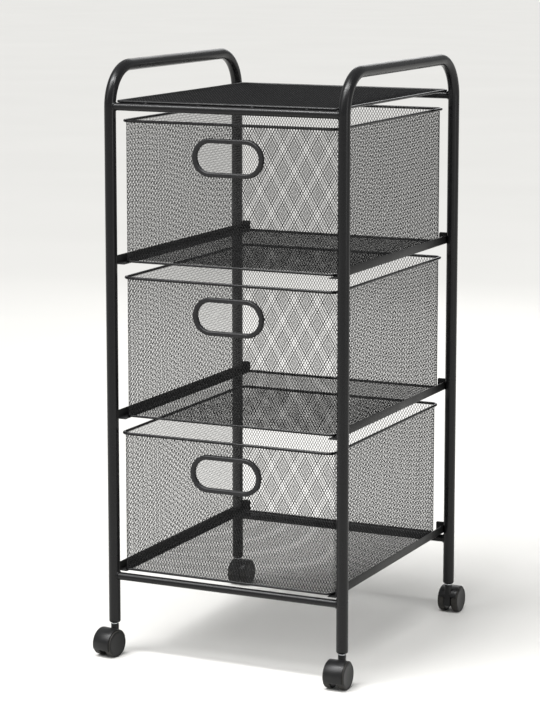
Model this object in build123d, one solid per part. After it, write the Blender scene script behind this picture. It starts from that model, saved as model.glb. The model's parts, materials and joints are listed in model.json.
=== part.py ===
"""Rolling pantry cart: two bent-tube side frames, four crossbars, a mesh shelf, three mesh drawers on
folded rails and four twin-wheel swivel casters. Millimetres, +Z up, origin on the floor under the middle
of the cart, -Y is the front that the drawers open to."""

import math
import os

from build123d import *

# ---- driving dimensions -------------------------------------------------------------------------

# side frames
frame_width = 345.0  # between the axes of the left and right legs
frame_depth = 387.0  # between the axes of a front and a rear leg
handle_above_crossbar = 53.3  # axis of the handle above the axis of an upper crossbar
tube_diameter = 16.0
tube_wall = 1.2
bend_radius = 55.0  # of the tube's axis at the two top corners

# crossbars
crossbar_diameter = 10.8
crossbar_wall = 1.0
crossbar_above_rim = 19.6  # axis of an upper crossbar above the axis of the top drawer's rim
crossbar_below_rail = 20.3  # axis of a lower crossbar below the upper edge of the lowest rails

# shelf
shelf_wire_diameter = 3.5
shelf_corner_radius = 6.0
mesh_thickness = 0.8
weld_depth = 0.2  # how far a piece is pressed into the one that it is welded to

# drawers and rails
drawer_count = 3
drawer_pitch = 214.0
rail_top_height = 131.6  # upper edge of the lowest pair of rails
rail_height = 12.0
rail_foot_width = 13.0
rail_thickness = 1.2
rail_overrun = 2.0  # past the leg axes, at each end
stop_tab_height = 16.0
drawer_side_gap = 3.9  # between the rim wire and a leg
drawer_front_setback = 9.0  # of the front wall's outer face behind the front legs' axes
drawer_rear_setback = 6.0
drawer_corner_radius = 9.0
rim_below_next_rail = 31.5  # axis of a rim below the upper edge of the next rails
rim_wire_diameter = 4.0
base_wire_diameter = 3.5
sliding_gap = 0.3
drawer_pull = {"bottom": 9.0, "middle": 0.0, "top": 0.0}  # how far each drawer stands open at rest

# grips
grip_width = 105.0
grip_height = 51.8
grip_band = 6.4
grip_half_depth = 3.6
grip_edge_fillet = 2.2
grip_below_rim = 44.7  # axis of the grip below the axis of the rim

# leg plugs and caster stems
leg_end_above_wheel = 7.5  # lowest point of the plug's dome above the top of a wheel
dome_height = 4.0
plug_depth = 24.0  # in the tube
socket_diameter = 6.0
socket_depth = 20.0
stem_collar_diameter = 9.4
stem_collar_height = 1.4
stem_tail_length = 11.0  # below the collar, in the housing
running_clearance = 0.05

# casters
wheel_diameter = 36.5
wheel_width = 10.0
wheel_gap = 10.6  # between the two wheels of a caster
wheel_edge_radius = 1.6
wheel_dish = 0.6
caster_trail = 13.0
hood_clearance = 0.5  # between the tread and the inside of the hood
hood_thickness = 1.3
hood_inset = 2.2  # of the hood's edges from the wheels' outer faces
hood_front_angle = -21.0  # where the hood ends on the trailing side, from the horizontal
hood_rear_angle = 160.0
web_clearance = 0.4  # between the housing's web and a wheel
web_floor_height = 11.0
boss_diameter = 11.0
axle_diameter = 5.0
axle_end_cover = 2.0  # plastic left outside the axle's end
# how each caster is turned about Z at rest; at 0 it trails towards -Y
caster_turn = {"front_left": -10.0, "front_right": 0.0, "rear_left": 180.0, "rear_right": 180.0}

# ---- derived places ------------------------------------------------------------------------------

leg_x = frame_width / 2
leg_y = frame_depth / 2
tube_radius = tube_diameter / 2
inner_face_x = leg_x - tube_radius  # of a leg, towards the drawers
leg_end_height = wheel_diameter + leg_end_above_wheel
tube_end_height = leg_end_height + dome_height
wheel_radius = wheel_diameter / 2
caster_width = 2 * wheel_width + wheel_gap
hood_inner_radius = wheel_radius + hood_clearance
hood_outer_radius = hood_inner_radius + hood_thickness
collar_bottom = leg_end_height - stem_collar_height
boss_top = collar_bottom - sliding_gap

rim_above_rail = drawer_pitch - rim_below_next_rail
top_rim_height = rail_top_height + (drawer_count - 1) * drawer_pitch + rim_above_rail
top_crossbar_height = top_rim_height + crossbar_above_rim
bottom_crossbar_height = rail_top_height - crossbar_below_rail
handle_height = top_crossbar_height + handle_above_crossbar
drawer_width = 2 * (inner_face_x - drawer_side_gap - rim_wire_diameter)  # outside of the mesh walls
drawer_front = drawer_front_setback - leg_y  # outer face of the front wall
drawer_rear = leg_y - drawer_rear_setback  # outer face of the rear wall

level_names = ["bottom", "middle", "top"][:drawer_count]
side_signs = {"left": -1, "right": 1}
end_signs = {"front": -1, "rear": 1}


def cylinder_z(radius, low, high, x=0.0, y=0.0):
    """Upright cylinder between two heights."""
    return Pos(x, y, low) * Cylinder(radius, high - low, align=(Align.CENTER, Align.CENTER, Align.MIN))


def cylinder_x(radius, low, high, y=0.0, z=0.0):
    """Cylinder along X between two places."""
    upright = Cylinder(radius, high - low, align=(Align.CENTER, Align.CENTER, Align.MIN))
    return Pos(low, y, z) * Rot(0, 90, 0) * upright


def block(low, high):
    """Box from its lowest to its highest corner."""
    size = [b - a for a, b in zip(low, high)]
    return Pos(*low) * Box(*size, align=(Align.MIN, Align.MIN, Align.MIN))


# ---- side frames ---------------------------------------------------------------------------------


def side_frame(side):
    """One tube bent into an inverted U: front leg, handle, rear leg."""
    x = side_signs[side] * leg_x
    corners = [
        (x, -leg_y, tube_end_height),
        (x, -leg_y, handle_height),
        (x, leg_y, handle_height),
        (x, leg_y, tube_end_height),
    ]
    path = FilletPolyline(*corners, radius=bend_radius)
    plane = Plane(origin=corners[0], z_dir=(0, 0, 1))
    outside = sweep(plane * Circle(tube_radius), path=path)
    inside = sweep(plane * Circle(tube_radius - tube_wall), path=path)
    return outside - inside


def side_frame_fill(side):
    """The same tube without its bore, to cut what is welded to it."""
    x = side_signs[side] * leg_x
    straight_top = handle_height - bend_radius
    fill = Part()
    for y in (-leg_y, leg_y):
        fill += cylinder_z(tube_radius, tube_end_height, straight_top, x, y)
    return fill


def crossbar(end, height, frames):
    """Round tube between a left and a right leg, its ends shaped to the legs."""
    y = end_signs[end] * leg_y
    reach = leg_x - tube_radius + tube_wall * 2
    bar = cylinder_x(crossbar_diameter / 2, -reach, reach, y, height)
    bar -= cylinder_x(crossbar_diameter / 2 - crossbar_wall, -reach, reach, y, height)
    for frame in frames:
        bar -= frame
    return keep_largest(bar)


def keep_largest(shape):
    """Drops the crescents that a cut leaves inside a tube."""
    return max(shape.solids(), key=lambda s: s.volume)


# ---- shelf ---------------------------------------------------------------------------------------

shelf_wire_radius = shelf_wire_diameter / 2
shelf_half_width = inner_face_x + weld_depth - shelf_wire_radius  # to the wire's axis
shelf_half_depth = leg_y - shelf_wire_radius
shelf_height = top_crossbar_height + crossbar_diameter / 2 + shelf_wire_radius - weld_depth


def wire_rectangle(half_width, front, rear, height, corner_radius, wire_diameter):
    """Closed rectangle of round wire, its axis at the given places."""
    centre = Pos(0, (front + rear) / 2, height)
    outline = centre * RectangleRounded(2 * half_width, rear - front, corner_radius)
    path = outline.wire()
    start = path @ 0
    section = Plane(origin=start, z_dir=path % 0) * Circle(wire_diameter / 2)
    return sweep(section, path=path)


def shelf_frame(frames, bars):
    """Wire round the shelf, welded on the upper crossbars and against the legs."""
    frame = wire_rectangle(
        shelf_half_width,
        -shelf_half_depth,
        shelf_half_depth,
        shelf_height,
        shelf_corner_radius,
        shelf_wire_diameter,
    )
    for piece in frames + bars:
        frame -= piece
    return frame


def shelf_mesh():
    """The sheet of expanded metal inside the shelf's wire, as a plain sheet."""
    half_width = shelf_half_width - shelf_wire_radius
    half_depth = shelf_half_depth - shelf_wire_radius
    corner = shelf_corner_radius - shelf_wire_radius
    low = Pos(0, 0, shelf_height - mesh_thickness / 2)
    return low * extrude(RectangleRounded(2 * half_width, 2 * half_depth, corner), amount=mesh_thickness)


# ---- rails ---------------------------------------------------------------------------------------


def rail(side, level, frames):
    """L-section strip from front leg to rear leg, with a tab bent up behind the drawer."""
    top = rail_top_height + level * drawer_pitch
    bottom = top - rail_height
    outer = inner_face_x + weld_depth
    inner = outer - rail_foot_width
    end = leg_y + rail_overrun
    foot = block((inner, -end, bottom), (outer, end, bottom + rail_thickness))
    flange = block((outer - rail_thickness, -end, bottom), (outer, end, top))
    tab = block((inner, end - rail_thickness, bottom), (outer, end, bottom + stop_tab_height))
    strip = foot + flange + tab
    if side == "left":
        strip = mirror(strip, about=Plane.YZ)
    for frame in frames:
        strip -= frame
    return strip


# ---- drawers -------------------------------------------------------------------------------------

drawer_half_width = drawer_width / 2
rim_wire_radius = rim_wire_diameter / 2
base_wire_radius = base_wire_diameter / 2


def drawer_heights(level):
    """Heights of the rim's axis, the base wire's axis and the underside of the floor."""
    rail_top = rail_top_height + level * drawer_pitch
    foot_top = rail_top - rail_height + rail_thickness
    base_axis = foot_top + sliding_gap + base_wire_radius
    return rail_top + rim_above_rail, base_axis, base_axis + base_wire_radius


def drawer_outline(grow, height):
    """Rounded rectangle round the drawer's walls, grown outwards."""
    centre = Pos(0, (drawer_front + drawer_rear) / 2, height)
    depth = drawer_rear - drawer_front
    return centre * RectangleRounded(drawer_width + 2 * grow, depth + 2 * grow, drawer_corner_radius + grow)


def grip_outline(inset, y, height):
    """Upright oval of the grip, seen from the front, at one depth."""
    face = Plane(origin=(0, y, height), x_dir=(1, 0, 0), z_dir=(0, -1, 0))
    return face * SlotOverall(grip_width - 2 * inset, grip_height - 2 * inset)


def basket(level):
    """Walls and floor of expanded metal as one plain sheet, with the hole of the grip."""
    rim_axis, _, floor_low = drawer_heights(level)
    outside = extrude(drawer_outline(0, floor_low), amount=rim_axis - floor_low)
    room = extrude(drawer_outline(-mesh_thickness, floor_low + mesh_thickness), amount=rim_axis - floor_low)
    hole_outline = grip_outline(grip_band, drawer_front - mesh_thickness, rim_axis - grip_below_rim)
    hole = extrude(hole_outline, amount=-3 * mesh_thickness)
    return outside - room - hole


def rim(level):
    """Wire round the top of the walls, welded to their outside."""
    rim_axis, _, _ = drawer_heights(level)
    return wire_rectangle(
        drawer_half_width + rim_wire_radius,
        drawer_front - rim_wire_radius,
        drawer_rear + rim_wire_radius,
        rim_axis,
        drawer_corner_radius + rim_wire_radius,
        rim_wire_diameter,
    )


def base_wire(level):
    """Wire under the edge of the floor; it slides on the feet of the rails."""
    _, base_axis, _ = drawer_heights(level)
    inset = mesh_thickness / 2
    return wire_rectangle(
        drawer_half_width - inset,
        drawer_front + inset,
        drawer_rear - inset,
        base_axis,
        drawer_corner_radius - inset,
        base_wire_diameter,
    )


def grip_half(level, inside):
    """Oval ring on one face of the front wall, its outer edges rounded."""
    rim_axis, _, _ = drawer_heights(level)
    height = rim_axis - grip_below_rim
    y = drawer_front + mesh_thickness if inside else drawer_front
    toward = -1 if inside else 1
    ring = extrude(grip_outline(0, y, height), amount=toward * grip_half_depth)
    ring -= extrude(grip_outline(grip_band, y, height), amount=toward * grip_half_depth)
    outer_face = ring.faces().sort_by(Axis.Y)[-1 if inside else 0]
    return fillet(outer_face.edges(), grip_edge_fillet)


# ---- leg plugs and casters -----------------------------------------------------------------------


def leg_plug(x, y):
    """Plastic plug with a domed end and a socket for the caster's stem."""
    dome = cylinder_z(tube_radius, leg_end_height, tube_end_height, x, y)
    lower_rim = dome.edges().filter_by(GeomType.CIRCLE).sort_by(Axis.Z)[0]
    dome = fillet(lower_rim, dome_height - 0.5)
    neck = cylinder_z(tube_radius - tube_wall, tube_end_height, tube_end_height + plug_depth, x, y)
    socket = cylinder_z(socket_diameter / 2, leg_end_height, leg_end_height + socket_depth, x, y)
    return dome + neck - socket


def stem(x, y):
    """Steel stem: shank in the plug, collar under it, tail that the housing turns on."""
    shank = cylinder_z(socket_diameter / 2, leg_end_height, leg_end_height + socket_depth, x, y)
    collar = cylinder_z(stem_collar_diameter / 2, collar_bottom, leg_end_height, x, y)
    tail = cylinder_z(socket_diameter / 2, collar_bottom - stem_tail_length, collar_bottom, x, y)
    return shank + collar + tail


def sector_corners(start, stop):
    """Corners of a sector from the axle out past the hood, between two angles in degrees."""
    reach = 2 * hood_outer_radius
    steps = 6
    angles = [math.radians(start + (stop - start) * i / steps) for i in range(steps + 1)]
    return [(0, 0)] + [(reach * math.cos(a), reach * math.sin(a)) for a in angles]


def caster_housing():
    """Hood over both wheels, web between them and boss for the stem; swivel axis at the origin."""
    half = caster_width / 2 - hood_inset
    axle_y = -caster_trail
    drum = cylinder_x(hood_outer_radius, -half, half, axle_y, wheel_radius)
    hollow = cylinder_x(hood_inner_radius, -half, half, axle_y, wheel_radius)
    plane = Plane(origin=(-half, axle_y, wheel_radius), x_dir=(0, -1, 0), z_dir=(-1, 0, 0))
    sector = plane * make_face(Polyline(*sector_corners(hood_front_angle, hood_rear_angle), close=True))
    hood = (drum - hollow) & extrude(sector, amount=-2 * half)
    web_half = wheel_gap / 2 - web_clearance
    web = cylinder_x(hood_inner_radius + hood_thickness / 2, -web_half, web_half, axle_y, wheel_radius)
    below = axle_y - wheel_diameter
    web -= block((-half, below, -wheel_diameter), (half, -below, web_floor_height))
    boss_low = wheel_radius + web_floor_height / 2
    boss = cylinder_z(boss_diameter / 2, boss_low, boss_top)
    wheel_room = Part()
    for low in (-caster_width / 2, web_half):
        high = low + caster_width / 2 - web_half
        wheel_room += cylinder_x(hood_inner_radius, low, high, axle_y, wheel_radius)
    housing = hood + web + (boss - wheel_room)
    tail_hole = cylinder_z(
        socket_diameter / 2 + running_clearance, collar_bottom - stem_tail_length - sliding_gap, boss_top + 1
    )
    axle_hole = cylinder_x(axle_diameter / 2, -half, half, axle_y, wheel_radius)
    return housing - tail_hole - axle_hole


def axle():
    """Steel pin through the web, with a wheel on each end."""
    half = caster_width / 2 - axle_end_cover
    return cylinder_x(axle_diameter / 2, -half, half, -caster_trail, wheel_radius)


def wheel(side):
    """One wheel: rounded edges, a shallow dish outside, a blind bore that runs on the axle."""
    outer = caster_width / 2
    inner = wheel_gap / 2
    disc = cylinder_x(wheel_radius, inner, outer, -caster_trail, wheel_radius)
    rims = disc.edges().filter_by(GeomType.CIRCLE)
    disc = fillet(rims, wheel_edge_radius)
    dish_radius = wheel_radius - 2 * wheel_edge_radius
    disc -= cylinder_x(dish_radius, outer - wheel_dish, outer, -caster_trail, wheel_radius)
    bore_end = outer - axle_end_cover + running_clearance * 4
    disc -= cylinder_x(axle_diameter / 2 + running_clearance, inner, bore_end, -caster_trail, wheel_radius)
    return disc if side == "right" else mirror(disc, about=Plane.YZ)


def caster_place(end, side):
    """Moves a caster from the origin to its leg and turns it to where it rests."""
    return Pos(side_signs[side] * leg_x, end_signs[end] * leg_y, 0) * Rot(0, 0, caster_turn[f"{end}_{side}"])


# ---- assembly ------------------------------------------------------------------------------------


def frame_parts():
    """The welded frame: side frames, crossbars, shelf and rails."""
    parts = {}
    for side in side_signs:
        parts[f"{side}_side_frame"] = side_frame(side)
    fills = [side_frame_fill(side) for side in side_signs]
    tubes = [parts[f"{side}_side_frame"] for side in side_signs]
    for end in end_signs:
        parts[f"{end}_top_crossbar"] = crossbar(end, top_crossbar_height, tubes)
        parts[f"{end}_bottom_crossbar"] = crossbar(end, bottom_crossbar_height, tubes)
    upper_bars = [parts[f"{end}_top_crossbar"] for end in end_signs]
    parts["shelf_frame"] = shelf_frame(tubes, upper_bars)
    parts["shelf_mesh"] = shelf_mesh()
    for level, name in enumerate(level_names):
        for side in side_signs:
            parts[f"{side}_{name}_rail"] = rail(side, level, fills)
    return parts


def drawer_parts():
    """Rim, basket, base wire and two grip halves of each drawer."""
    parts = {}
    for level, name in enumerate(level_names):
        place = Pos(0, -drawer_pull[name], 0)
        parts[f"{name}_drawer_rim"] = place * rim(level)
        parts[f"{name}_drawer_basket"] = place * basket(level)
        parts[f"{name}_drawer_base_wire"] = place * base_wire(level)
        parts[f"{name}_drawer_grip_outer"] = place * grip_half(level, inside=False)
        parts[f"{name}_drawer_grip_inner"] = place * grip_half(level, inside=True)
    return parts


def caster_parts():
    """Plug, stem, housing, axle and two wheels at each leg."""
    parts = {}
    for end in end_signs:
        for side in side_signs:
            name = f"{end}_{side}"
            x = side_signs[side] * leg_x
            y = end_signs[end] * leg_y
            place = caster_place(end, side)
            parts[f"{name}_leg_plug"] = leg_plug(x, y)
            parts[f"{name}_caster_stem"] = stem(x, y)
            parts[f"{name}_caster_housing"] = place * caster_housing()
            parts[f"{name}_caster_axle"] = place * axle()
            for wheel_side in side_signs:
                turned_round = abs(caster_turn[name]) > 90
                mounted = {"left": "right", "right": "left"}[wheel_side] if turned_round else wheel_side
                parts[f"{name}_caster_{wheel_side}_wheel"] = place * wheel(mounted)
    return parts


os.makedirs("parts", exist_ok=True)
for node, shape in {**frame_parts(), **drawer_parts(), **caster_parts()}.items():
    export_step(shape, f"parts/{node}.step")
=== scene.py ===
import json
import math

import bmesh
import bpy
from mathutils import Matrix, Vector


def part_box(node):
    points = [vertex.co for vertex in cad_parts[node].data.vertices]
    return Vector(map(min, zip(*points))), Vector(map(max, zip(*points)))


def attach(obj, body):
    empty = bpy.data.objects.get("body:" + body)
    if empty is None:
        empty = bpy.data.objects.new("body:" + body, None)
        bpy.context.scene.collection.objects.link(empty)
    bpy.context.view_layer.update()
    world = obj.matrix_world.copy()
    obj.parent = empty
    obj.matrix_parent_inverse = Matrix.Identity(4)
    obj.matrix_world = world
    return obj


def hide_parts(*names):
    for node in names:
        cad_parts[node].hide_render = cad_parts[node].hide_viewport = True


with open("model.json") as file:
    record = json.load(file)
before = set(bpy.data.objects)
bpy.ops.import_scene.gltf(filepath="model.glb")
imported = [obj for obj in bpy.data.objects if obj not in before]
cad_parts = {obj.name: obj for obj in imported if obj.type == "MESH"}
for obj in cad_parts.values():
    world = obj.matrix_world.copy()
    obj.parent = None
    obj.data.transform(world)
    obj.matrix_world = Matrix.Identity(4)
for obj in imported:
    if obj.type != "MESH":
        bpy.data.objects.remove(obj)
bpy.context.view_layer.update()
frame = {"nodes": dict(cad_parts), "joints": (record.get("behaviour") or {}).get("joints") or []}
MM = 0.001

# ---- studio --------------------------------------------------------------------------------------
# A plain pale floor that runs out of sight, a pale surround, a broad soft sun, a long strip overhead
# that draws the lines on the bars and wires, and soft boxes from the left, the right and behind.


def linear(hex_colour):
    """sRGB hex colour as linear red, green, blue and alpha."""
    parts = [int(hex_colour[i : i + 2], 16) / 255 for i in (1, 3, 5)]
    return [c / 12.92 if c <= 0.04045 else ((c + 0.055) / 1.055) ** 2.4 for c in parts] + [1.0]


def add_node(tree, kind, inputs=(), **settings):
    """Adds a node with its settings; an input is given a value, or the socket that it is linked to."""
    node = tree.nodes.new(kind)
    for name, value in settings.items():
        setattr(node, name, value)
    for key, value in dict(inputs).items():
        if isinstance(value, bpy.types.NodeSocket):
            tree.links.new(value, node.inputs[key])
        else:
            node.inputs[key].default_value = value
    return node


def new_material(name, roughness, metallic=0.0):
    """Material with its shader, the Object coordinates and the node tree that they are in."""
    material = bpy.data.materials.new(name)
    material.use_nodes = True
    tree = material.node_tree
    shader = tree.nodes["Principled BSDF"]
    shader.inputs["Roughness"].default_value = roughness
    shader.inputs["Metallic"].default_value = metallic
    place = add_node(tree, "ShaderNodeTexCoord").outputs["Object"]
    return material, tree, shader, place


def painted_screed():
    """Matt pale floor paint on a smooth screed: faint cloudy tone, no gloss."""
    material, tree, shader, place = new_material("matt floor paint", 0.85)
    cloud = add_node(tree, "ShaderNodeTexNoise", {"Vector": place, "Scale": 1.5, "Detail": 3.0})
    tone = add_node(tree, "ShaderNodeMix", {0: cloud.outputs[0]}, data_type="RGBA")
    tone.inputs[6].default_value = linear("#d3d2cf")
    tone.inputs[7].default_value = linear("#d9d8d5")
    tree.links.new(tone.outputs[2], shader.inputs["Base Color"])
    shader.inputs["Specular IOR Level"].default_value = 0.2
    return material


floor_half = 40.0
floor_signs = ((-1, -1), (1, -1), (1, 1), (-1, 1))
floor_mesh = bpy.data.meshes.new("floor")
floor_corners = [(sx * floor_half, sy * floor_half, 0.0) for sx, sy in floor_signs]
floor_mesh.from_pydata(floor_corners, [], [(0, 1, 2, 3)])
floor_mesh.materials.append(painted_screed())
floor = bpy.data.objects.new("floor", floor_mesh)
bpy.context.scene.collection.objects.link(floor)

world = bpy.data.worlds.new("pale surround")
bpy.context.scene.world = world
world.use_nodes = True
world.node_tree.nodes["Background"].inputs["Color"].default_value = linear("#eceded")
world.node_tree.nodes["Background"].inputs["Strength"].default_value = 0.5
bpy.context.scene.view_settings.view_transform = "Standard"

sun_lamp = bpy.data.lights.new("soft sun", "SUN")
sun_lamp.energy = 3.0
sun_lamp.angle = math.radians(40)
sun = bpy.data.objects.new("soft sun", sun_lamp)
sun.rotation_euler = Vector((0.45, 0.75, -1.5)).to_track_quat("-Z", "Y").to_euler()
bpy.context.scene.collection.objects.link(sun)


def soft_box(name, place, aim, width, height, power):
    """Rectangular soft light at a place, turned to a point."""
    lamp = bpy.data.lights.new(name, "AREA")
    lamp.shape = "RECTANGLE"
    lamp.size = width
    lamp.size_y = height
    lamp.energy = power
    light = bpy.data.objects.new(name, lamp)
    light.location = place
    light.rotation_euler = (Vector(aim) - Vector(place)).to_track_quat("-Z", "Y").to_euler()
    bpy.context.scene.collection.objects.link(light)


soft_box("key light", (-1.9, -2.3, 2.2), (0, 0, 0.45), 1.6, 1.6, 12)
soft_box("side light", (2.6, -0.9, 1.2), (0, 0, 0.45), 0.9, 1.8, 12)
soft_box("overhead strip", (0.1, -0.8, 2.3), (0, 0, 0.6), 2.2, 0.2, 45)
soft_box("edge light", (-0.8, 2.7, 1.6), (0, 0, 0.5), 1.4, 1.6, 12)

# The camera stands to the right of the front, a little above the handles, with a long lens.
lens_mm = 124.85
camera_aim = Vector((-0.0259, 0.0, 0.4941))
camera_distance = 3.515
camera_azimuth = math.radians(25.457)
camera_elevation = math.radians(8.717)
camera_data = bpy.data.cameras.new("camera")
camera_data.lens = lens_mm
camera_data.sensor_width = 36.0
camera_data.shift_y = -0.0972
camera = bpy.data.objects.new("camera", camera_data)
backwards = Vector(
    (
        math.sin(camera_azimuth) * math.cos(camera_elevation),
        -math.cos(camera_azimuth) * math.cos(camera_elevation),
        math.sin(camera_elevation),
    )
)
camera.location = camera_aim + backwards * camera_distance
camera.rotation_euler = (-backwards).to_track_quat("-Z", "Y").to_euler()
bpy.context.scene.collection.objects.link(camera)
bpy.context.scene.camera = camera

# ---- side frames ---------------------------------------------------------------------------------
# Each side frame is one length of round steel tube, bent cold into an inverted U: two legs and the
# handle between them. It is powder coated black after welding; its open ends are closed by plugs.


def powder_coat(name, dark, light, roughness, peel_mm, peel_depth_mm):
    """Baked polyester powder: black with a fine fleck, a satin gloss that varies, and orange peel."""
    material, tree, shader, place = new_material(name, roughness)
    fleck = add_node(tree, "ShaderNodeTexNoise", {"Vector": place, "Scale": 1000 / 1.1, "Detail": 3.0})
    patches = add_node(tree, "ShaderNodeTexNoise", {"Vector": place, "Scale": 1000 / 55, "Detail": 4.0})
    peel = add_node(tree, "ShaderNodeTexNoise", {"Vector": place, "Scale": 1000 / peel_mm, "Detail": 2.0})
    share = add_node(
        tree,
        "ShaderNodeMapRange",
        {"Value": fleck.outputs[0], "From Min": 0.42, "From Max": 0.72, "To Min": 0.0, "To Max": 1.0},
    )
    tone = add_node(tree, "ShaderNodeMix", {0: share.outputs[0]}, data_type="RGBA")
    tone.inputs[6].default_value = linear(dark)
    tone.inputs[7].default_value = linear(light)
    tree.links.new(tone.outputs[2], shader.inputs["Base Color"])
    gloss = add_node(
        tree,
        "ShaderNodeMapRange",
        {
            "Value": patches.outputs[0],
            "From Min": 0.3,
            "From Max": 0.7,
            "To Min": roughness - 0.05,
            "To Max": roughness + 0.06,
        },
    )
    tree.links.new(gloss.outputs[0], shader.inputs["Roughness"])
    relief = add_node(
        tree, "ShaderNodeBump", {"Height": peel.outputs[0], "Strength": 0.6, "Distance": peel_depth_mm * MM}
    )
    tree.links.new(relief.outputs[0], shader.inputs["Normal"])
    shader.inputs["IOR"].default_value = 1.52
    shader.inputs["Specular IOR Level"].default_value = 0.24
    return material


def rounded_path(corners, radius, closed=False, steps=12):
    """Corners joined by straight runs and by arcs of one radius."""
    count = len(corners)
    path = []
    for i, corner in enumerate(corners):
        if not closed and i in (0, count - 1):
            path.append(corner.copy())
            continue
        back = (corners[i - 1] - corner).normalized()
        ahead = (corners[(i + 1) % count] - corner).normalized()
        half = back.angle(ahead) / 2
        centre = corner + (back + ahead).normalized() * radius / math.sin(half)
        arm = corner + back * radius / math.tan(half) - centre
        axis = back.cross(ahead)
        for step in range(steps + 1):
            turn = Matrix.Rotation(-(math.pi - 2 * half) * step / steps, 3, axis)
            point = centre + turn @ arm
            if not path or (point - path[-1]).length > 1e-6:
                path.append(point)
    if closed and (path[0] - path[-1]).length < 1e-6:
        path.pop()
    return path


def round_section(radius, sides=32):
    """Circle as the section of a tube or a wire."""
    angles = [2 * math.pi * i / sides for i in range(sides)]
    return [(radius * math.cos(angle), radius * math.sin(angle)) for angle in angles]


def sweep(bm, path, section, up, closed=False, swell=None):
    """Carries a section along a path; its second number is measured along up."""
    count = len(path)
    rings = []
    for i, point in enumerate(path):
        before = path[i - 1] if closed or i > 0 else point
        after = path[(i + 1) % count] if closed or i < count - 1 else point
        along = (after - before).normalized()
        side = along.cross(up).normalized()
        rise = side.cross(along).normalized()
        size = swell(i) if swell else 1.0
        rings.append([bm.verts.new(point + (side * u + rise * v) * size) for u, v in section])
    for i in range(count if closed else count - 1):
        ring, following = rings[i], rings[(i + 1) % count]
        for k in range(len(section)):
            m = (k + 1) % len(section)
            bm.faces.new((ring[k], ring[m], following[m], following[k]))
    if not closed:
        bm.faces.new(rings[0])
        bm.faces.new(rings[-1])


def finished(bm, name, sharp_degrees=38):
    """Object from a bmesh: doubles merged, faces outwards, smooth except at sharp edges."""
    bmesh.ops.remove_doubles(bm, verts=bm.verts, dist=1e-7)
    bmesh.ops.recalc_face_normals(bm, faces=bm.faces)
    mesh = bpy.data.meshes.new(name)
    bm.to_mesh(mesh)
    bm.free()
    mesh.shade_smooth()
    mesh.set_sharp_from_angle(angle=math.radians(sharp_degrees))
    piece = bpy.data.objects.new(name, mesh)
    bpy.context.scene.collection.objects.link(piece)
    return piece


def mount(piece, material, body, slot, *replaced):
    """Gives a finished piece its material, its body and the CAD nodes that it stands for; slot is not used.
    """
    if not piece.data.materials:
        piece.data.materials.append(material)
    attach(piece, body)
    if replaced:
        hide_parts(*replaced)
    return piece


SIDES = ("left", "right")
X_AXIS = Vector((1, 0, 0))
Y_AXIS = Vector((0, 1, 0))
Z_AXIS = Vector((0, 0, 1))
handle_bend_radius = 55 * MM

tube_coat = powder_coat("satin black powder coat on tube", "#0c0c0d", "#161617", 0.27, 1.6, 0.02)

for side in SIDES:
    low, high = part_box(f"{side}_side_frame")
    tube_radius = (high.x - low.x) / 2
    leg_x = (low.x + high.x) / 2
    leg_y = high.y - tube_radius
    handle_z = high.z - tube_radius
    corners = [
        Vector((leg_x, -leg_y, low.z)),
        Vector((leg_x, -leg_y, handle_z)),
        Vector((leg_x, leg_y, handle_z)),
        Vector((leg_x, leg_y, low.z)),
    ]
    bm = bmesh.new()
    sweep(bm, rounded_path(corners, handle_bend_radius, steps=24), round_section(tube_radius, 48), X_AXIS)
    mount(finished(bm, f"{side}_side_tube"), tube_coat, "frame", "frame_tube", f"{side}_side_frame")
leg_x = abs(leg_x)

# ---- crossbars -----------------------------------------------------------------------------------
# Four straight round tubes, thinner than the legs, saddled to them and welded all round. The smooth
# weld beads are dressed and coated with the frame, so they show only as a soft fillet.

ENDS = ("front", "rear")
weld_bead_radius = 1.3 * MM
weld_ripple_pitch = 1.4 * MM
weld_coat = powder_coat("black powder coat over weld bead", "#0d0d0e", "#171718", 0.28, 0.9, 0.06)


def saddle_path(bar_radius, place, outwards, steps=48):
    """Closed line where a bar along X meets an upright leg."""
    path = []
    for i in range(steps):
        angle = 2 * math.pi * i / steps
        y = bar_radius * math.cos(angle)
        z = bar_radius * math.sin(angle)
        path.append(place + Vector((-outwards * math.sqrt(tube_radius**2 - y**2), y, z)))
    return path


for end in ENDS:
    for level in ("top", "bottom"):
        node = f"{end}_{level}_crossbar"
        low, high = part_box(node)
        middle = (low + high) / 2
        bar_radius = (high.z - low.z) / 2
        inside_leg = leg_x - tube_radius / 2
        bm = bmesh.new()
        ends = [Vector((x, middle.y, middle.z)) for x in (-inside_leg, inside_leg)]
        sweep(bm, ends, round_section(bar_radius, 40), Z_AXIS)
        mount(finished(bm, f"{end}_{level}_bar"), tube_coat, "frame", "frame_tube", node)
        bm = bmesh.new()
        for outwards in (-1, 1):
            path = saddle_path(bar_radius, Vector((outwards * leg_x, middle.y, middle.z)), outwards)
            ripple = 2 * math.pi * 2 * math.pi * bar_radius / weld_ripple_pitch / len(path)
            sweep(
                bm,
                path,
                round_section(weld_bead_radius, 10),
                X_AXIS,
                closed=True,
                swell=lambda i: 1 + 0.06 * math.sin(ripple * i),
            )
        mount(finished(bm, f"{end}_{level}_bar_welds"), weld_coat, "frame", "frame_tube")

# ---- shelf ---------------------------------------------------------------------------------------
# A sheet of expanded steel inside a rectangle of wire. The wire lies on the two upper crossbars, is
# tacked to them in four places each, and touches the legs' inner faces.

wire_coat = powder_coat("glossy black powder coat on wire", "#0b0b0c", "#131314", 0.2, 2.2, 0.015)
strand_coat = powder_coat("black powder coat on expanded metal", "#0e0e0f", "#1a1a1a", 0.36, 0.7, 0.02)

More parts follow.
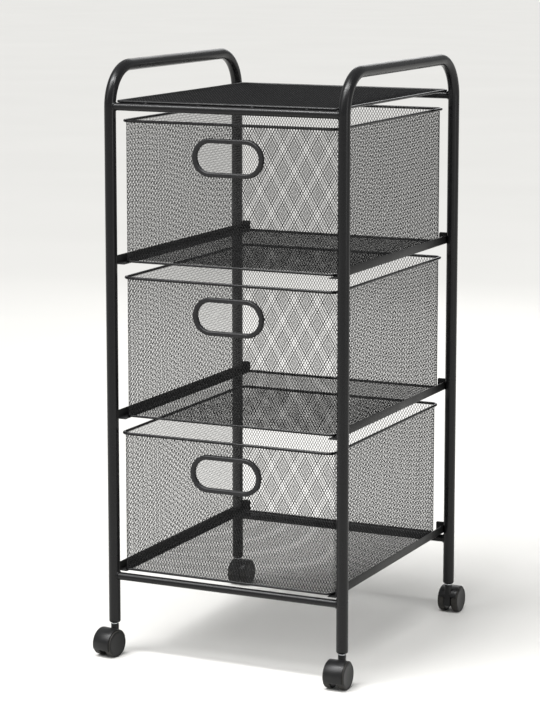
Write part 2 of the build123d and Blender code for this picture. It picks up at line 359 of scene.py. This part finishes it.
shelf_corner_radius = 6 * MM  # of the wire's axis
tack_length = 7 * MM
tack_radius = 1.3 * MM
tack_shares = (-0.36, -0.12, 0.12, 0.36)  # of the shelf's width
tack_inset = 1.2 * MM  # from a crossbar's axis, towards the middle
tack_rise = 0.2 * MM  # above the wire's lowest line


def wire_loop(bm, node, corner_radius, wire_sides=20):
    """Closed rectangle of round wire that fills a node's box."""
    low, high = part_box(node)
    radius = (high.z - low.z) / 2
    z = (low.z + high.z) / 2
    corners = [
        Vector((low.x + radius, low.y + radius, z)),
        Vector((high.x - radius, low.y + radius, z)),
        Vector((high.x - radius, high.y - radius, z)),
        Vector((low.x + radius, high.y - radius, z)),
    ]
    path = rounded_path(corners, corner_radius, closed=True, steps=12)
    sweep(bm, path, round_section(radius, wire_sides), Z_AXIS, closed=True)


def tack(bm, place, length, radius):
    """Small weld spot, longest along X, with a rounded back."""
    shape = Matrix.Translation(place) @ Matrix.Diagonal((length / 2, radius, radius, 1))
    bmesh.ops.create_icosphere(bm, subdivisions=3, radius=1.0, matrix=shape)


bm = bmesh.new()
wire_loop(bm, "shelf_frame", shelf_corner_radius)
mount(finished(bm, "shelf_wire"), wire_coat, "frame", "wire", "shelf_frame")

low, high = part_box("shelf_frame")
bm = bmesh.new()
for end in ENDS:
    bar_low, bar_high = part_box(f"{end}_top_crossbar")
    y = (bar_low.y + bar_high.y) / 2
    for share in tack_shares:
        place = Vector((share * (high.x - low.x), y - math.copysign(tack_inset, y), low.z + tack_rise))
        tack(bm, place, tack_length, tack_radius)
mount(finished(bm, "shelf_tack_welds"), weld_coat, "frame", "wire")


def expanded_metal_tree():
    """Slit and stretched sheet: crossing strands on a path, which rise from it in one direction."""
    tree = bpy.data.node_groups.new("expanded metal", "GeometryNodeTree")
    given = (
        ("Path", "Geometry"),
        ("Height", "Float"),
        ("Rise", "Vector"),
        ("Cell Width", "Float"),
        ("Cell Height", "Float"),
        ("Strand Width", "Float"),
        ("Strand Thickness", "Float"),
        ("Corner Radius", "Float"),
        ("Hole Centre", "Vector"),
        ("Hole Half Size", "Vector"),
        ("Material", "Material"),
    )
    for name, kind in given:
        tree.interface.new_socket(name, in_out="INPUT", socket_type="NodeSocket" + kind)
    tree.interface.new_socket("Mesh", in_out="OUTPUT", socket_type="NodeSocketGeometry")
    asked = tree.nodes.new("NodeGroupInput").outputs
    curve = add_node(tree, "GeometryNodeMeshToCurve", {0: asked["Path"]}).outputs[0]
    length = add_node(tree, "GeometryNodeCurveLength", {0: curve}).outputs[0]

    # an even number of columns and a whole number of rows, so that neighbouring sheets match
    cells = add_node(
        tree, "ShaderNodeMath", {0: length, 1: asked["Cell Width"]}, operation="DIVIDE"
    ).outputs[0]
    whole_cells = add_node(tree, "ShaderNodeMath", {0: cells}, operation="ROUND").outputs[0]
    columns = add_node(tree, "ShaderNodeMath", {0: whole_cells, 1: 2.0}, operation="MULTIPLY").outputs[0]
    column_step = add_node(tree, "ShaderNodeMath", {0: length, 1: columns}, operation="DIVIDE").outputs[0]
    tall = add_node(tree, "ShaderNodeMath", {0: asked["Height"], 1: 2.0}, operation="MULTIPLY").outputs[0]
    part_rows = add_node(
        tree, "ShaderNodeMath", {0: tall, 1: asked["Cell Height"]}, operation="DIVIDE"
    ).outputs[0]
    rows = add_node(tree, "ShaderNodeMath", {0: part_rows}, operation="ROUND").outputs[0]
    row_step = add_node(
        tree, "ShaderNodeMath", {0: asked["Height"], 1: rows}, operation="DIVIDE"
    ).outputs[0]

    # one point in the middle of each strand, on a flat sheet
    wide = add_node(tree, "ShaderNodeMath", {0: length, 1: column_step}, operation="SUBTRACT").outputs[0]
    high_span = add_node(
        tree, "ShaderNodeMath", {0: asked["Height"], 1: row_step}, operation="SUBTRACT"
    ).outputs[0]
    grid = add_node(
        tree,
        "GeometryNodeMeshGrid",
        {"Size X": wide, "Size Y": high_span, "Vertices X": columns, "Vertices Y": rows},
    ).outputs[0]
    half_length = add_node(tree, "ShaderNodeMath", {0: length, 1: 0.5}, operation="MULTIPLY").outputs[0]
    half_height = add_node(
        tree, "ShaderNodeMath", {0: asked["Height"], 1: 0.5}, operation="MULTIPLY"
    ).outputs[0]
    centre = add_node(tree, "ShaderNodeCombineXYZ", {0: half_length, 1: half_height}).outputs[0]
    placed = add_node(tree, "GeometryNodeSetPosition", {"Geometry": grid, "Offset": centre}).outputs[0]

    # strands past the sheet's rounded corners and in its hole are left out
    place = add_node(tree, "GeometryNodeInputPosition").outputs[0]
    radius = asked["Corner Radius"]
    straight_x = add_node(
        tree, "ShaderNodeMath", {0: half_length, 1: radius}, operation="SUBTRACT"
    ).outputs[0]
    straight_y = add_node(
        tree, "ShaderNodeMath", {0: half_height, 1: radius}, operation="SUBTRACT"
    ).outputs[0]
    straight = add_node(tree, "ShaderNodeCombineXYZ", {0: straight_x, 1: straight_y}).outputs[0]
    hole_split = add_node(tree, "ShaderNodeSeparateXYZ", {0: asked["Hole Half Size"]})
    hole_x, hole_radius = hole_split.outputs[0], hole_split.outputs[1]
    hole_straight_x = add_node(
        tree, "ShaderNodeMath", {0: hole_x, 1: hole_radius}, operation="SUBTRACT"
    ).outputs[0]
    hole_straight = add_node(tree, "ShaderNodeCombineXYZ", {0: hole_straight_x}).outputs[0]
    distances = []
    for middle_socket, flat_part in ((centre, straight), (asked["Hole Centre"], hole_straight)):
        away = add_node(
            tree, "ShaderNodeVectorMath", {0: place, 1: middle_socket}, operation="SUBTRACT"
        ).outputs[0]
        size = add_node(tree, "ShaderNodeVectorMath", {0: away}, operation="ABSOLUTE").outputs[0]
        past = add_node(
            tree, "ShaderNodeVectorMath", {0: size, 1: flat_part}, operation="SUBTRACT"
        ).outputs[0]
        beyond = add_node(tree, "ShaderNodeVectorMath", {0: past}, operation="MAXIMUM").outputs[0]
        length_past = add_node(tree, "ShaderNodeVectorMath", {0: beyond}, operation="LENGTH")
        distances.append(length_past.outputs["Value"])
    outside = add_node(
        tree, "ShaderNodeMath", {0: distances[0], 1: radius}, operation="GREATER_THAN"
    ).outputs[0]
    in_hole = add_node(
        tree, "ShaderNodeMath", {0: distances[1], 1: hole_radius}, operation="LESS_THAN"
    ).outputs[0]
    dropped = add_node(tree, "ShaderNodeMath", {0: outside, 1: in_hole}, operation="MAXIMUM").outputs[0]
    kept = add_node(
        tree, "GeometryNodeDeleteGeometry", {"Geometry": placed, "Selection": dropped}
    ).outputs[0]

    # each strand is a three-sided bar; every other one leans the other way
    split = add_node(tree, "ShaderNodeSeparateXYZ", {0: place})
    column = add_node(
        tree, "ShaderNodeMath", {0: split.outputs[0], 1: column_step}, operation="DIVIDE"
    ).outputs[0]
    row = add_node(
        tree, "ShaderNodeMath", {0: split.outputs[1], 1: row_step}, operation="DIVIDE"
    ).outputs[0]
    column_number = add_node(tree, "ShaderNodeMath", {0: column}, operation="FLOOR").outputs[0]
    row_number = add_node(tree, "ShaderNodeMath", {0: row}, operation="FLOOR").outputs[0]
    number = add_node(tree, "ShaderNodeMath", {0: column_number, 1: row_number}, operation="ADD").outputs[0]
    odd = add_node(tree, "ShaderNodeMath", {0: number, 1: 2.0}, operation="MODULO").outputs[0]
    sign = add_node(tree, "ShaderNodeMath", {0: odd, 1: -2.0, 2: 1.0}, operation="MULTIPLY_ADD").outputs[0]
    lean = add_node(tree, "ShaderNodeMath", {0: row_step, 1: column_step}, operation="ARCTAN2").outputs[0]
    turn = add_node(tree, "ShaderNodeMath", {0: lean, 1: sign}, operation="MULTIPLY").outputs[0]
    rotation = add_node(tree, "ShaderNodeCombineXYZ", {2: turn}).outputs[0]
    steps = add_node(tree, "ShaderNodeCombineXYZ", {0: column_step, 1: row_step}).outputs[0]
    strand_length = add_node(tree, "ShaderNodeVectorMath", {0: steps}, operation="LENGTH").outputs["Value"]
    circle = add_node(
        tree, "ShaderNodeMath", {0: asked["Strand Width"], 1: math.sqrt(3)}, operation="DIVIDE"
    ).outputs[0]
    bar = add_node(
        tree,
        "GeometryNodeMeshCylinder",
        {"Vertices": 3, "Radius": circle, "Depth": strand_length},
        fill_type="NGON",
    ).outputs[0]
    thickness = asked["Strand Thickness"]
    sink = add_node(tree, "ShaderNodeMath", {0: thickness, 1: -1.5}, operation="DIVIDE").outputs[0]
    sunk = add_node(tree, "ShaderNodeCombineXYZ", {2: sink}).outputs[0]
    full = add_node(tree, "ShaderNodeMath", {0: circle, 1: 1.5}, operation="MULTIPLY").outputs[0]
    squash = add_node(tree, "ShaderNodeMath", {0: thickness, 1: full}, operation="DIVIDE").outputs[0]
    squashed = add_node(tree, "ShaderNodeCombineXYZ", {0: squash, 1: 1.0, 2: 1.0}).outputs[0]
    strand = add_node(
        tree,
        "GeometryNodeTransform",
        {"Geometry": bar, "Translation": sunk, "Rotation": (0, -math.pi / 2, 0), "Scale": squashed},
    ).outputs[0]
    copies = add_node(
        tree, "GeometryNodeInstanceOnPoints", {"Points": kept, "Instance": strand, "Rotation": rotation}
    ).outputs[0]
    solid = add_node(tree, "GeometryNodeRealizeInstances", {0: copies}).outputs[0]

    # the flat sheet is carried to the path: along it, up the rise, and outwards
    flat = add_node(tree, "ShaderNodeSeparateXYZ", {0: place}).outputs
    on_path = add_node(tree, "GeometryNodeSampleCurve", {0: curve, "Length": flat[0]}, mode="LENGTH")
    tangent = on_path.outputs["Tangent"]
    outwards = add_node(
        tree, "ShaderNodeVectorMath", {0: tangent, 1: asked["Rise"]}, operation="CROSS_PRODUCT"
    ).outputs[0]
    up = add_node(
        tree, "ShaderNodeVectorMath", {0: asked["Rise"], "Scale": flat[1]}, operation="SCALE"
    ).outputs[0]
    out = add_node(
        tree, "ShaderNodeVectorMath", {0: outwards, "Scale": flat[2]}, operation="SCALE"
    ).outputs[0]
    raised = add_node(
        tree, "ShaderNodeVectorMath", {0: on_path.outputs["Position"], 1: up}, operation="ADD"
    ).outputs[0]
    final = add_node(tree, "ShaderNodeVectorMath", {0: raised, 1: out}, operation="ADD").outputs[0]
    carried = add_node(tree, "GeometryNodeSetPosition", {"Geometry": solid, "Position": final}).outputs[0]
    flat_shaded = add_node(
        tree, "GeometryNodeSetShadeSmooth", {0: carried, "Shade Smooth": False}
    ).outputs[0]
    coated = add_node(
        tree, "GeometryNodeSetMaterial", {"Geometry": flat_shaded, "Material": asked["Material"]}
    ).outputs[0]
    tree.links.new(coated, tree.nodes.new("NodeGroupOutput").inputs[0])
    return tree


expanded_metal = expanded_metal_tree()
cell_width = 4.2 * MM
cell_height = 7.2 * MM
strand_width = 0.72 * MM
strand_thickness = 0.45 * MM


def expanded_sheet(
    name, path, height, rise, corner_radius=0.0, hole_centre=(0, 0, 0), hole_half_size=(0, 0, 0)
):
    """Sheet of expanded metal that rises from a path, as an object with a plain mesh."""
    line = bpy.data.meshes.new(name)
    line.from_pydata(path, [(i, i + 1) for i in range(len(path) - 1)], [])
    draft = bpy.data.objects.new(name, line)
    bpy.context.scene.collection.objects.link(draft)
    modifier = draft.modifiers.new("expanded metal", "NODES")
    modifier.node_group = expanded_metal
    values = {
        "Height": float(height),
        "Rise": [float(c) for c in rise],
        "Cell Width": cell_width,
        "Cell Height": cell_height,
        "Strand Width": strand_width,
        "Strand Thickness": strand_thickness,
        "Corner Radius": float(corner_radius),
        "Hole Centre": [float(c) for c in hole_centre],
        "Hole Half Size": [float(c) for c in hole_half_size],
        "Material": strand_coat,
    }
    for socket in expanded_metal.interface.items_tree:
        if socket.name in values:
            modifier[socket.identifier] = values[socket.name]
    bpy.context.view_layer.update()
    evaluated = draft.evaluated_get(bpy.context.evaluated_depsgraph_get())
    mesh = bpy.data.meshes.new_from_object(evaluated)
    bpy.data.objects.remove(draft)
    mesh.name = name
    sheet = bpy.data.objects.new(name, mesh)
    bpy.context.scene.collection.objects.link(sheet)
    return sheet


low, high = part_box("shelf_mesh")
front_line = [Vector((low.x, low.y, high.z)), Vector((high.x, low.y, high.z))]
shelf_sheet = expanded_sheet("shelf_sheet", front_line, high.y - low.y, Y_AXIS, shelf_corner_radius / 2)
mount(shelf_sheet, strand_coat, "frame", "mesh", "shelf_mesh")

# ---- rails ---------------------------------------------------------------------------------------
# Each rail is a strip of sheet steel folded to an L along its length. The upright flange is welded to
# both legs, the foot carries the drawer, and a tab bent up at the rear stops the drawer.

LEVELS = ("bottom", "middle", "top")
rail_coat = powder_coat("satin black powder coat on sheet", "#151515", "#212121", 0.4, 1.8, 0.03)
sheet_thickness = 1.2 * MM
fold_radius = 1.8 * MM
tab_height = 16 * MM
tab_corner = 2.5 * MM
rail_height = 12 * MM
sheet_edge_radius = 0.25 * MM


def arc(centre_u, centre_v, radius, start, stop, steps=6):
    """Points of an arc between two angles in degrees."""
    angles = [math.radians(start + (stop - start) * i / steps) for i in range(steps + 1)]
    return [(centre_u + radius * math.cos(a), centre_v + radius * math.sin(a)) for a in angles]


def ease_edges(bm, radius, min_degrees=50, segments=2):
    """Rounds every edge that turns by more than an angle."""
    limit = math.radians(min_degrees)
    sharp = [e for e in bm.edges if len(e.link_faces) == 2 and e.calc_face_angle() > limit]
    bmesh.ops.bevel(
        bm, geom=sharp, offset=radius, segments=segments, profile=0.5, affect="EDGES", clamp_overlap=True
    )


for level in LEVELS:
    for side, outwards in zip(SIDES, (-1, 1)):
        node = f"{side}_{level}_rail"
        low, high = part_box(node)
        outer_x = high.x if outwards > 0 else low.x
        width = high.x - low.x
        inner_fold = fold_radius - sheet_thickness
        profile = [(0, rail_height)]
        profile += arc(-fold_radius, fold_radius, fold_radius, 0, -90)
        profile += [(-width, 0), (-width, sheet_thickness)]
        profile += arc(-fold_radius, fold_radius, inner_fold, -90, 0)
        profile += [(-sheet_thickness, rail_height)]
        tab_profile = [(-width, sheet_thickness / 2)]
        tab_profile += arc(-width + tab_corner, tab_height - tab_corner, tab_corner, 180, 90)
        tab_profile += arc(-tab_corner, tab_height - tab_corner, tab_corner, 90, 0)
        tab_profile += [(0, sheet_thickness / 2)]
        bm = bmesh.new()
        for section, y_start, y_stop in (
            (profile, low.y, high.y),
            (tab_profile, high.y - sheet_thickness, high.y),
        ):
            part = bmesh.new()
            path = [Vector((outer_x, y, low.z)) for y in (y_start, y_stop)]
            sweep(part, path, [(outwards * u, v) for u, v in section], Z_AXIS)
            bmesh.ops.recalc_face_normals(part, faces=part.faces)
            ease_edges(part, sheet_edge_radius)
            whole = bpy.data.meshes.new("rail part")
            part.to_mesh(whole)
            part.free()
            bm.from_mesh(whole)
            bpy.data.meshes.remove(whole)
        mount(finished(bm, f"{side}_{level}_l_rail"), rail_coat, "frame", "rail_sheet", node)

# ---- drawers -------------------------------------------------------------------------------------
# Three alike. Walls and floor are expanded steel; a rim of round wire is welded outside the top edge
# and a thinner wire under the floor slides on the rails. The oval grip is two plastic halves that
# clip together through the front wall.


def moulded_plastic(name, dark, light, roughness, grain_mm, grain_depth_mm):
    """Moulded plastic from a spark-eroded tool: satin, an even fine grain, faint flow clouds."""
    material, tree, shader, place = new_material(name, roughness)
    flow = add_node(
        tree, "ShaderNodeTexNoise", {"Vector": place, "Scale": 1000 / 18, "Detail": 3.0, "Distortion": 1.2}
    )
    grain = add_node(tree, "ShaderNodeTexNoise", {"Vector": place, "Scale": 1000 / grain_mm, "Detail": 2.0})
    tone = add_node(tree, "ShaderNodeMix", {0: flow.outputs[0]}, data_type="RGBA")
    tone.inputs[6].default_value = linear(dark)
    tone.inputs[7].default_value = linear(light)
    tree.links.new(tone.outputs[2], shader.inputs["Base Color"])
    gloss = add_node(
        tree,
        "ShaderNodeMapRange",
        {"Value": flow.outputs[0], "From Min": 0.3, "From Max": 0.7, "To Min": roughness - 0.04},
    )
    gloss.inputs["To Max"].default_value = roughness + 0.06
    tree.links.new(gloss.outputs[0], shader.inputs["Roughness"])
    relief = add_node(
        tree,
        "ShaderNodeBump",
        {"Height": grain.outputs[0], "Strength": 0.7, "Distance": grain_depth_mm * MM},
    )
    tree.links.new(relief.outputs[0], shader.inputs["Normal"])
    shader.inputs["IOR"].default_value = 1.5
    shader.inputs["Specular IOR Level"].default_value = 0.28
    return material


grip_plastic = moulded_plastic("spark-eroded black ABS", "#161617", "#202021", 0.4, 0.5, 0.03)

wall_corner_radius = 9 * MM
rim_axis_radius = 11 * MM  # the wall's corner and half a wire
base_axis_radius = 8.6 * MM
floor_inset = 0.4 * MM
mesh_thickness = 0.8 * MM
grip_band = 6.4 * MM
grip_outer_fillet = 2.2 * MM
grip_seam_fillet = 0.5 * MM

for level in LEVELS:
    body = f"{level}_drawer"
    bm = bmesh.new()
    wire_loop(bm, f"{body}_rim", rim_axis_radius)
    mount(finished(bm, f"{level}_rim_wire"), wire_coat, body, "wire", f"{body}_rim")
    bm = bmesh.new()
    wire_loop(bm, f"{body}_base_wire", base_axis_radius)
    mount(finished(bm, f"{level}_floor_wire"), wire_coat, body, "wire", f"{body}_base_wire")

    # the grip's halves: one section swept round an oval, on each face of the front wall
    grip_low, grip_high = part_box(f"{body}_grip_outer")
    grip_centre = (grip_low + grip_high) / 2
    half_width = (grip_high.x - grip_low.x) / 2 - grip_band / 2
    half_height = (grip_high.z - grip_low.z) / 2 - grip_band / 2
    for half, inwards in (("outer", -1), ("inner", 1)):
        half_low, half_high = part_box(f"{body}_grip_{half}")
        wall_y = half_high.y if half == "outer" else half_low.y
        depth = half_high.y - half_low.y
        r = grip_outer_fillet
        s = grip_seam_fillet
        w = grip_band / 2
        section = arc(w - r, depth - r, r, 0, 90) + arc(r - w, depth - r, r, 90, 180)
        section += arc(s - w, s, s, 180, 270) + arc(w - s, s, s, 270, 360)
        oval = [
            Vector((grip_centre.x + sx * half_width, wall_y, grip_centre.z + sz * half_height))
            for sx, sz in ((-1, -1), (1, -1), (1, 1), (-1, 1))
        ]
        bm = bmesh.new()
        path = rounded_path(oval, half_height - 1e-5, closed=True, steps=16)
        sweep(bm, path, section, Y_AXIS * inwards, closed=True)
        grip = finished(bm, f"{level}_grip_{half}_half")
        mount(grip, grip_plastic, body, "grip_plastic", f"{body}_grip_{half}")

    # walls, in the order front, right, rear, left, each from one corner to the next
    low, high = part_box(f"{body}_basket")
    tall = high.z - low.z
    r = wall_corner_radius
    outline = [
        Vector((low.x, low.y + r, low.z)),
        Vector((low.x, low.y, low.z)),
        Vector((high.x, low.y, low.z)),
        Vector((high.x, low.y + r, low.z)),
    ]
    front_path = rounded_path(outline, r - 1e-5, steps=10)
    rear_path = [Vector((low.x + high.x - p.x, low.y + high.y - p.y, p.z)) for p in front_path]
    right_path = [Vector((high.x, low.y + r, low.z)), Vector((high.x, high.y - r, low.z))]
    left_path = [Vector((low.x, high.y - r, low.z)), Vector((low.x, low.y + r, low.z))]
    front_length = sum((b - a).length for a, b in zip(front_path, front_path[1:]))
    hole_centre = (front_length / 2, grip_centre.z - low.z, 0)
    hole_half_size = (half_width, half_height, 0)
    front_wall = expanded_sheet(
        f"{level}_front_wall", front_path, tall, Z_AXIS, 0.0, hole_centre, hole_half_size
    )
    mount(front_wall, strand_coat, body, "mesh", f"{body}_basket")
    for wall, path in (("right", right_path), ("rear", rear_path), ("left", left_path)):
        sheet = expanded_sheet(f"{level}_{wall}_wall", path, tall, Z_AXIS)
        mount(sheet, strand_coat, body, "mesh", f"{body}_basket")
    floor_low = low + Vector((floor_inset, floor_inset, mesh_thickness))
    floor_line = [floor_low, Vector((high.x - floor_inset, floor_low.y, floor_low.z))]
    floor_depth = high.y - low.y - 2 * floor_inset
    floor_corner_radius = wall_corner_radius - floor_inset
    sheet = expanded_sheet(f"{level}_floor", floor_line, floor_depth, Y_AXIS, floor_corner_radius)
    mount(sheet, strand_coat, body, "mesh", f"{body}_basket")

# ---- leg plugs and stems -------------------------------------------------------------------------
# A domed plastic plug closes each leg and grips the shank of the caster's stem. The stem's zinc-plated
# collar is the thin bright ring between the plug and the housing.

plug_plastic = moulded_plastic("moulded black polyethylene", "#0c0c0d", "#151516", 0.42, 0.6, 0.02)
dome_height = 4 * MM
plug_wall_gap = 1.2 * MM  # the tube's wall, beside the plug's neck
neck_ease = 0.5 * MM
dome_edge_radius = 3.6 * MM
dome_flat_edge = 0.3 * MM  # upright part of the dome under the tube's end
socket_mouth = 0.4 * MM
socket_radius = 3 * MM
socket_depth = 20 * MM
collar_height = 1.4 * MM


def zinc_plate(name, colour, roughness, mark_mm):
    """Bright zinc on turned steel: fine turning marks round the stem, a soft mirror gloss."""
    material, tree, shader, place = new_material(name, roughness, metallic=1.0)
    shader.inputs["Base Color"].default_value = linear(colour)
    stretch = add_node(tree, "ShaderNodeMapping", {"Vector": place, "Scale": (0.05, 0.05, 1.0)})
    marks = add_node(tree, "ShaderNodeTexNoise", {"Vector": stretch.outputs[0], "Scale": 1000 / mark_mm})
    haze = add_node(tree, "ShaderNodeTexNoise", {"Vector": place, "Scale": 1000 / 3, "Detail": 3.0})
    gloss = add_node(
        tree,
        "ShaderNodeMapRange",
        {"Value": haze.outputs[0], "From Min": 0.3, "From Max": 0.7, "To Min": roughness - 0.08},
    )
    gloss.inputs["To Max"].default_value = roughness + 0.1
    tree.links.new(gloss.outputs[0], shader.inputs["Roughness"])
    relief = add_node(
        tree, "ShaderNodeBump", {"Height": marks.outputs[0], "Strength": 0.4, "Distance": 0.01 * MM}
    )
    tree.links.new(relief.outputs[0], shader.inputs["Normal"])
    return material


stem_zinc = zinc_plate("bright zinc plate on turned steel", "#c3c6ca", 0.24, 0.2)
pin_steel = zinc_plate("bright drawn steel pin", "#b4b6b9", 0.3, 0.3)


def turned(bm, profile, origin, axis, steps=48):
    """Solid turned round an axis; (radius, distance along it) points start and end on the axis."""
    across = axis.orthogonal().normalized()
    other = axis.cross(across).normalized()
    rings = []
    for radius, along in profile:
        ring = []
        for i in range(steps):
            angle = 2 * math.pi * i / steps
            spoke = across * math.cos(angle) + other * math.sin(angle)
            ring.append(bm.verts.new(origin + axis * along + spoke * radius))
        rings.append(ring)
    for ring, following in zip(rings, rings[1:]):
        for i in range(steps):
            k = (i + 1) % steps
            bm.faces.new((ring[i], ring[k], following[k], following[i]))


for end in ENDS:
    for side in SIDES:
        corner = f"{end}_{side}"
        low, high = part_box(f"{corner}_leg_plug")
        middle = (low + high) / 2
        origin = Vector((middle.x, middle.y, low.z))
        plug_radius = (high.x - low.x) / 2
        neck_radius = plug_radius - plug_wall_gap
        plug_height = high.z - low.z
        profile = [(0, plug_height), (neck_radius - neck_ease, plug_height)]
        profile += [(neck_radius, plug_height - neck_ease), (neck_radius, dome_height)]
        profile += [(plug_radius, dome_height)]
        edge_centre = (plug_radius - dome_edge_radius, dome_height - dome_flat_edge)
        profile += arc(*edge_centre, dome_edge_radius, 0, -80, 8)
        profile += [(socket_radius + socket_mouth, 0), (socket_radius, 0.75 * socket_mouth)]
        profile += [(socket_radius, socket_depth), (0, socket_depth)]
        bm = bmesh.new()
        turned(bm, profile, origin, Z_AXIS)
        mount(finished(bm, f"{corner}_plug"), plug_plastic, "frame", "plug_plastic", f"{corner}_leg_plug")

        low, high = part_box(f"{corner}_caster_stem")
        collar_radius = (high.x - low.x) / 2
        collar_top = origin.z - low.z
        collar_low = collar_top - collar_height
        ease = 0.25 * MM
        profile = [(0, 0), (socket_radius - ease, 0), (socket_radius, ease), (socket_radius, collar_low)]
        profile += [(collar_radius - ease, collar_low), (collar_radius, collar_low + ease)]
        profile += [(collar_radius, collar_top - ease), (collar_radius - ease, collar_top)]
        profile += [(socket_radius, collar_top), (socket_radius, high.z - low.z - ease)]
        profile += [(socket_radius - ease, high.z - low.z), (0, high.z - low.z)]
        bm = bmesh.new()
        turned(bm, profile, Vector((middle.x, middle.y, low.z)), Z_AXIS)
        mount(finished(bm, f"{corner}_stem"), stem_zinc, "frame", "stem_steel", f"{corner}_caster_stem")

# ---- casters -------------------------------------------------------------------------------------
# Small twin-wheel furniture casters in black nylon: a hood that covers both wheels, a web between them
# with the boss that turns on the stem, a steel pin through the web, and a dished wheel on each end.

nodes = frame["nodes"]
joints = {joint["name"]: joint for joint in frame["joints"]}

hood_nylon = moulded_plastic("moulded black nylon", "#101011", "#191919", 0.34, 0.6, 0.02)
hood_edge_radius = 0.45 * MM


def softened_copy(node, name, radius):
    """Copy of a CAD node with its facets joined and its edges rounded."""
    bm = bmesh.new()
    bm.from_mesh(nodes[node].data)
    bmesh.ops.remove_doubles(bm, verts=bm.verts, dist=2e-6)
    bmesh.ops.dissolve_limit(
        bm, angle_limit=math.radians(1), verts=bm.verts, edges=bm.edges, delimit={"NORMAL"}
    )
    ease_edges(bm, radius, min_degrees=40)
    return finished(bm, name, 30)


def worn_nylon():
    """Hard black nylon wheel: satin faces; the tread is dulled and greyed by the dust that it picks up."""
    material, tree, shader, place = new_material("black nylon wheel", 0.36)
    tread = add_node(tree, "ShaderNodeAttribute", attribute_name="tread").outputs["Fac"]
    dust = add_node(tree, "ShaderNodeTexNoise", {"Vector": place, "Scale": 1000 / 4, "Detail": 5.0})
    grain = add_node(tree, "ShaderNodeTexNoise", {"Vector": place, "Scale": 1000 / 0.6, "Detail": 2.0})
    dusty = add_node(
        tree, "ShaderNodeMath", {0: tread, 1: dust.outputs[0]}, operation="MULTIPLY"
    ).outputs[0]
    tone = add_node(tree, "ShaderNodeMix", {0: dusty}, data_type="RGBA")
    tone.inputs[6].default_value = linear("#0f0f10")
    tone.inputs[7].default_value = linear("#3a3834")
    tree.links.new(tone.outputs[2], shader.inputs["Base Color"])
    shader.inputs["Specular IOR Level"].default_value = 0.28
    gloss = add_node(tree, "ShaderNodeMapRange", {"Value": dusty, "To Min": 0.36, "To Max": 0.85})
    tree.links.new(gloss.outputs[0], shader.inputs["Roughness"])
    relief = add_node(
        tree, "ShaderNodeBump", {"Height": grain.outputs[0], "Strength": 0.6, "Distance": 0.02 * MM}
    )
    tree.links.new(relief.outputs[0], shader.inputs["Normal"])
    return material


wheel_nylon = worn_nylon()
wheel_edge = 1.6 * MM
ring_outer = 16.1 * MM  # a moulded groove near the edge of the disc
ring_inner = 15.4 * MM
ring_depth = 0.6 * MM
dish_depth = 0.9 * MM
tread_depth = 1.2 * MM  # inside this the dust of the tread ends
tread_fade = 1.0 * MM
bore_radius = 2.55 * MM
bore_cover = 1.8 * MM  # left between the bore's end and the disc
bore_boss_radius = 4.5 * MM  # flat ring round the bore, proud of the inner face
inner_recess = 0.3 * MM
inner_rim_width = 3.4 * MM
recess_slope = 0.5 * MM
outer_face_inset = 0.15 * MM
groove_slope = 0.1 * MM


def wheel_profile(radius, width):
    """Half section of a wheel, from the end of its blind bore round the tread to the disc's middle."""
    face = width - outer_face_inset
    recess_start = bore_boss_radius + recess_slope
    recess_stop = radius - inner_rim_width - recess_slope
    points = [(0, width - bore_cover), (bore_radius, width - bore_cover)]
    points += [(bore_radius, 0), (bore_boss_radius, 0)]
    points += [(recess_start, inner_recess), (recess_stop, inner_recess), (radius - inner_rim_width, 0)]
    points += arc(radius - wheel_edge, wheel_edge, wheel_edge, -90, 0)
    points += arc(radius - wheel_edge, width - wheel_edge, wheel_edge, 0, 90)
    points += [(ring_outer, face), (ring_outer - groove_slope, face - ring_depth)]
    points += [(ring_inner + groove_slope, face - ring_depth), (ring_inner, face)]
    for i in range(1, 10):
        share = i / 9
        points.append((ring_inner * (1 - share), face - dish_depth * math.sin(share * math.pi / 2)))
    return points


for end in ENDS:
    for side in SIDES:
        corner = f"{end}_{side}"
        caster = f"{corner}_caster"
        housing = softened_copy(f"{caster}_housing", f"{corner}_hood", hood_edge_radius)
        mount(housing, hood_nylon, caster, "caster_plastic", f"{caster}_housing")
        nodes[f"{caster}_axle"].data.materials.clear()
        nodes[f"{caster}_axle"].data.materials.append(pin_steel)
        for wheel_side in SIDES:
            body = f"{corner}_{wheel_side}_wheel"
            joint = joints[f"{body}_roll"]
            hub = Vector(joint["pos_m"])
            axis = Vector(joint["axis"]).normalized()
            wheel_mesh = nodes[f"{caster}_{wheel_side}_wheel"].data
            reach = [(v.co - hub).dot(axis) for v in wheel_mesh.vertices]
            outwards = axis if sum(reach) > 0 else -axis
            inner = min(abs(r) for r in reach)
            width = max(abs(r) for r in reach) - inner
            radius = hub.z
            bm = bmesh.new()
            turned(bm, wheel_profile(radius, width), hub + outwards * inner, outwards, 64)
            wheel = finished(bm, f"{body}_disc", 40)
            tread = wheel.data.attributes.new("tread", "FLOAT", "POINT")
            for vertex in wheel.data.vertices:
                arm = vertex.co - hub
                distance = (arm - axis * arm.dot(axis)).length
                share = (distance - radius + tread_depth) / tread_fade
                tread.data[vertex.index].value = max(0.0, min(1.0, share))
            mount(wheel, wheel_nylon, body, "wheel_plastic", f"{caster}_{wheel_side}_wheel")

bpy.context.view_layer.update()
